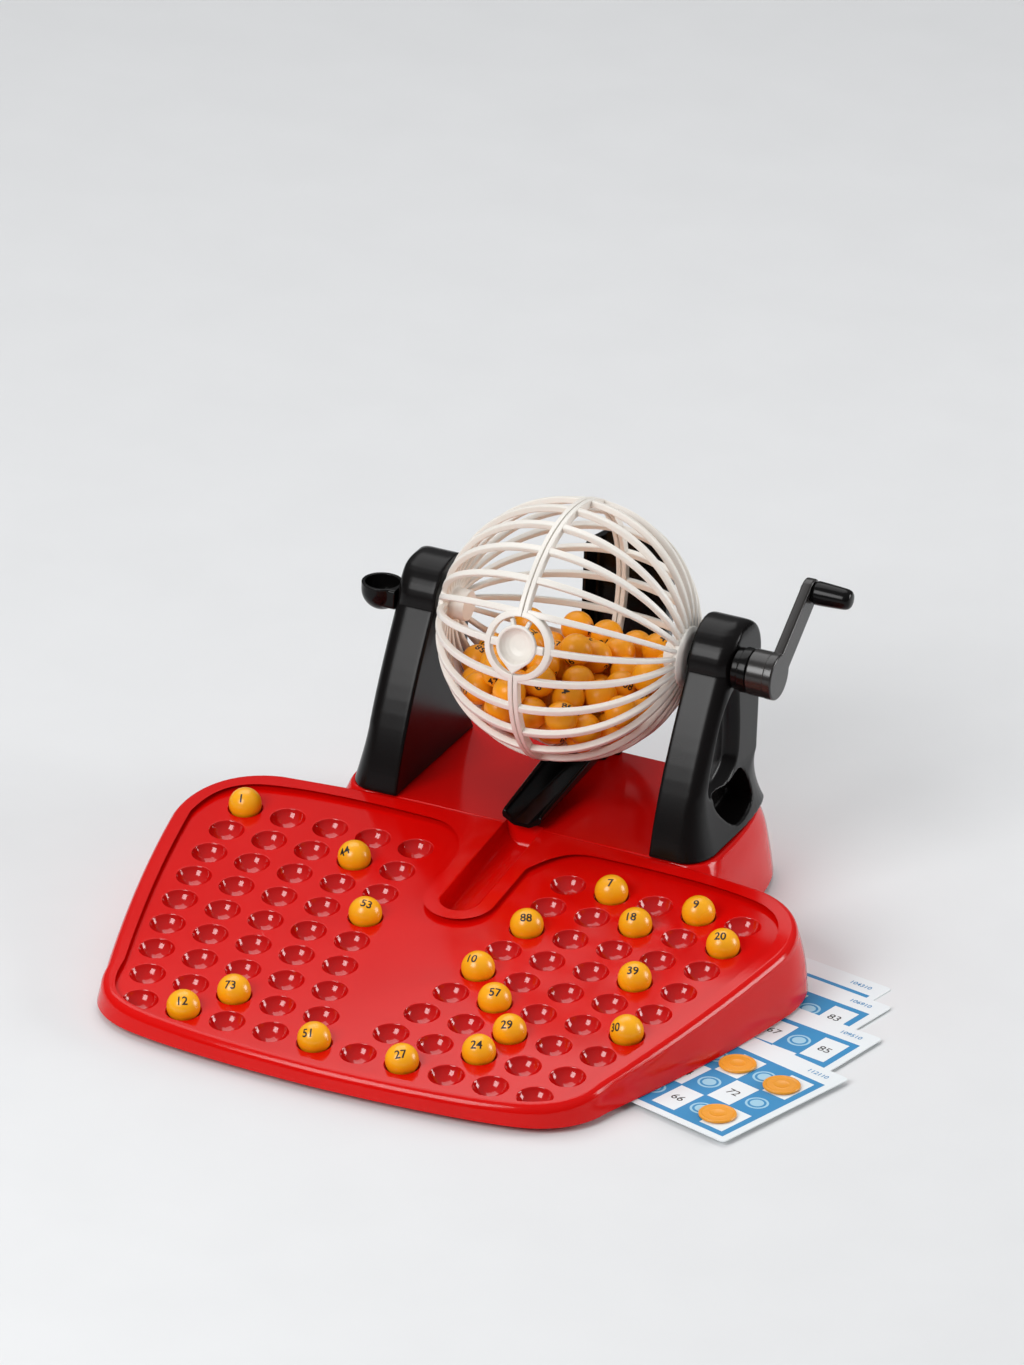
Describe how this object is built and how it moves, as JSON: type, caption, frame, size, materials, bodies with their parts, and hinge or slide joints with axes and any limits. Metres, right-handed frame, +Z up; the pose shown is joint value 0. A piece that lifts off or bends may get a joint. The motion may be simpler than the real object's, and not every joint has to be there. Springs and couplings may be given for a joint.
{
  "type": "bingo game",
  "caption": "Table-top bingo game with a crank-turned ball cage on a dimpled tray base, a chute, numbered balls, cards and tokens",
  "frame": {"origin": "middle of the game's footprint box, cards included, on the table", "axes": "+X to the crank side along the cage's axis, +Y from the tray's front edge to the back, +Z up"},
  "size_m": [0.2978, 0.276, 0.1473],
  "materials": {
    "base_red": "glossy bright red moulded plastic",
    "arm_black": "satin black moulded plastic",
    "trim_black": "semi-gloss black moulded plastic",
    "cage_white": "smooth warm white moulded plastic",
    "ball_yellow": "glossy amber yellow plastic with thin black printed numbers",
    "ball_orange": "glossy orange plastic",
    "foot_rubber": "dull grey rubber",
    "pin_steel": "zinc-plated steel",
    "card_board": "white card printed with a blue grid and numbers",
    "token_orange": "smooth orange plastic"
  },
  "bodies": {
    "base": {"base_tray": "base_red", "foot_front_left": "foot_rubber", "foot_front_right": "foot_rubber", "foot_back_left": "foot_rubber", "foot_back_right": "foot_rubber", "arm_left": "arm_black", "arm_right": "arm_black", "screw_left_front": "pin_steel", "screw_left_back": "pin_steel", "screw_right_front": "pin_steel", "screw_right_back": "pin_steel", "side_cup": "trim_black", "chute": "trim_black", "ball_guard": "trim_black", "ball_heap": "ball_orange", "ball_07": "ball_yellow", "ball_09": "ball_yellow", "ball_18": "ball_yellow", "ball_20": "ball_yellow", "ball_88": "ball_yellow", "ball_39": "ball_yellow", "ball_10": "ball_yellow", "ball_57": "ball_yellow", "ball_30": "ball_yellow", "ball_29": "ball_yellow", "ball_24": "ball_yellow", "ball_27": "ball_yellow", "ball_01": "ball_yellow", "ball_44": "ball_yellow", "ball_53": "ball_yellow", "ball_73": "ball_yellow", "ball_51": "ball_yellow", "ball_12": "ball_yellow", "card_4": "card_board", "card_3": "card_board", "card_2": "card_board", "card_1": "card_board", "token_1": "token_orange", "token_2": "token_orange", "token_3": "token_orange"},
    "cage": {"cage_left": "cage_white", "cage_right": "cage_white", "ball_outlet": "cage_white", "crank_shaft": "trim_black", "crank_bar": "trim_black", "knob_pin": "pin_steel"},
    "knob": {"crank_knob": "trim_black"}
  },
  "joints": [
    {"name": "cage_spin", "type": "hinge", "parent": "base", "child": "cage", "pos_m": [-0.01962, 0.07653, 0.097], "axis": [1, 0, 0], "continuous": true},
    {"name": "knob_spin", "type": "hinge", "parent": "cage", "child": "knob", "pos_m": [0.06688, 0.10648, 0.11957], "axis": [1, 0, 0], "continuous": true}
  ]
}
